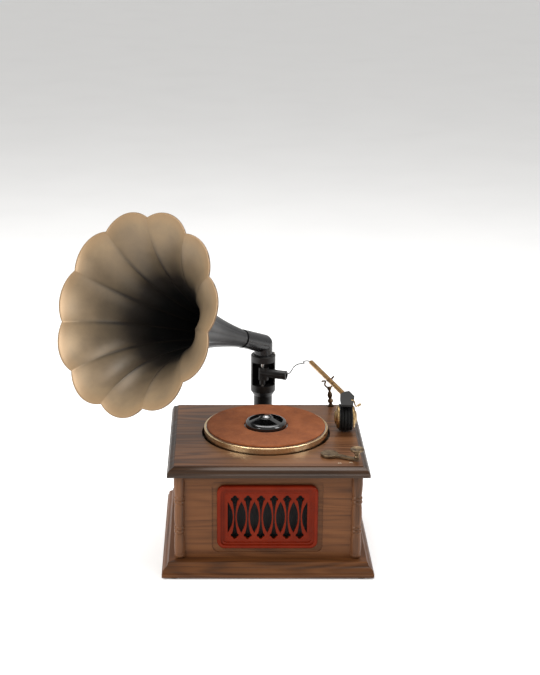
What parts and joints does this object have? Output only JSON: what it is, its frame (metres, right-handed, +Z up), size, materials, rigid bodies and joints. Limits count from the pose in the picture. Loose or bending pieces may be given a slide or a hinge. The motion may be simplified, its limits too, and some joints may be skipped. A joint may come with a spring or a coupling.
{
  "type": "gramophone-style record player",
  "caption": "Small battery record player in a moulded wooden cabinet with a felt turntable, a front grille, a flower-shaped horn on a rear pillar and a short drum-headed tonearm.",
  "frame": {"origin": "centre of the bounding box in plan, at the underside of the feet", "axes": "+Z up; -Y out of the grille towards the viewer; +X to the right of someone facing the grille; the pillar stands at +Y behind the cabinet"},
  "size_m": [0.285, 0.2172, 0.3152],
  "materials": {
    "top_wood": "satin lacquer",
    "case_wood": "satin lacquer",
    "plain_board": "matte",
    "bezel_plastic": "gloss",
    "cloth": "woven",
    "felt": "felt",
    "black_plastic": "satin",
    "adaptor_plastic": "gloss",
    "rubber": "matte",
    "antique_brass": "aged",
    "bronze": "dark bronze",
    "horn_paint": "satin",
    "aluminium": "cast",
    "steel": "plated",
    "bush_brass": "turned",
    "board_green": "laminate",
    "cell_label": "satin",
    "paper": "pressed paper",
    "lead_jacket": "satin"
  },
  "bodies": {
    "cabinet": {"amplifier_board": "board_green", "amplifier_parts": "steel", "arm_pivot_pin": "steel", "arm_rest": "bronze", "battery_cells": "cell_label", "battery_contacts": "steel", "battery_holder": "black_plastic", "bottom_board": "plain_board", "column_front_left": "case_wood", "column_front_right": "case_wood", "column_rear_left": "case_wood", "column_rear_right": "case_wood", "cover_rails": "black_plastic", "feet": "black_plastic", "front_panel": "case_wood", "grille_bezel": "bezel_plastic", "grille_cloth": "cloth", "grille_fret": "bezel_plastic", "horn_set_screw": "steel", "idler_post": "steel", "left_panel": "case_wood", "motor": "steel", "motor_plate": "steel", "pillar": "black_plastic", "plinth_front": "case_wood", "plinth_left": "case_wood", "plinth_rear": "case_wood", "plinth_right": "case_wood", "rear_bracket": "black_plastic", "rear_panel": "case_wood", "right_panel": "case_wood", "screws": "steel", "speaker_basket": "steel", "speaker_cone": "paper", "speaker_magnet": "steel", "speed_switch": "black_plastic", "spindle_bearing": "bush_brass", "top_panel": "top_wood"},
    "turntable": {"platter": "aluminium", "platter_rim": "antique_brass", "spindle": "aluminium", "turntable_mat": "felt"},
    "adaptor": {"record_adaptor": "adaptor_plastic"},
    "idler": {"idler_wheel": "aluminium", "idler_tyre": "rubber"},
    "motor_shaft": {"motor_pulley": "steel"},
    "lever": {"speed_lever": "antique_brass", "lever_knob": "antique_brass"},
    "socket": {"arm_socket": "black_plastic", "socket_collar": "antique_brass", "pickup_lead": "lead_jacket"},
    "tonearm": {"arm_tube": "antique_brass", "headshell": "black_plastic", "drum_body": "rubber", "drum_caps": "antique_brass", "stylus_carrier": "black_plastic", "finger_lift": "antique_brass"},
    "elbow": {"horn_elbow": "black_plastic"},
    "horn": {"horn_bell": "horn_paint"},
    "battery_door": {"battery_cover": "black_plastic"}
  },
  "joints": [
    {"name": "turntable_spin", "type": "hinge", "parent": "cabinet", "child": "turntable", "pos_m": [0.04822, -0.00725, 0.0966], "axis": [0, 0, 1], "continuous": true},
    {"name": "adaptor_lift", "type": "slide", "parent": "turntable", "child": "adaptor", "axis": [0, 0, 1], "range_m": [0, 0.012]},
    {"name": "idler_spin", "type": "hinge", "parent": "cabinet", "child": "idler", "pos_m": [0.01057, -0.00209, 0.1006], "axis": [0, 0, 1], "continuous": true},
    {"name": "motor_spin", "type": "hinge", "parent": "cabinet", "child": "motor_shaft", "pos_m": [0.02222, 0.00775, 0.0966], "axis": [0, 0, 1], "continuous": true},
    {"name": "speed_lever_turn", "type": "hinge", "parent": "cabinet", "child": "lever", "pos_m": [0.10292, -0.06655, 0.1016], "axis": [0, 0, 1], "range_deg": [-40, 0]},
    {"name": "arm_socket_swing", "type": "hinge", "parent": "cabinet", "child": "socket", "pos_m": [0.04722, 0.08805, 0.1276], "axis": [0, 0, 1], "range_deg": [-20, 8], "deforming": ["pickup_lead"]},
    {"name": "tonearm_lift", "type": "hinge", "parent": "cabinet", "child": "tonearm", "pos_m": [0.09604, 0.10405, 0.13484], "axis": [-0.9536, -0.3012, 0], "range_deg": [0, 45]},
    {"name": "horn_turn", "type": "hinge", "parent": "cabinet", "child": "elbow", "pos_m": [0.04822, 0.09605, 0.1466], "axis": [0, 0, 1], "continuous": true},
    {"name": "horn_pull_out", "type": "slide", "parent": "elbow", "child": "horn", "axis": [-0.6005, -0.7101, 0.3675], "range_m": [0, 0.017]},
    {"name": "battery_cover_slide", "type": "slide", "parent": "cabinet", "child": "battery_door", "axis": [1, 0, 0], "range_m": [0, 0.024]}
  ],
  "couplings": [
    {"joint": "idler_spin", "follows": "turntable_spin", "ratio": 3.7681},
    {"joint": "motor_spin", "follows": "turntable_spin", "ratio": -41.6}
  ]
}
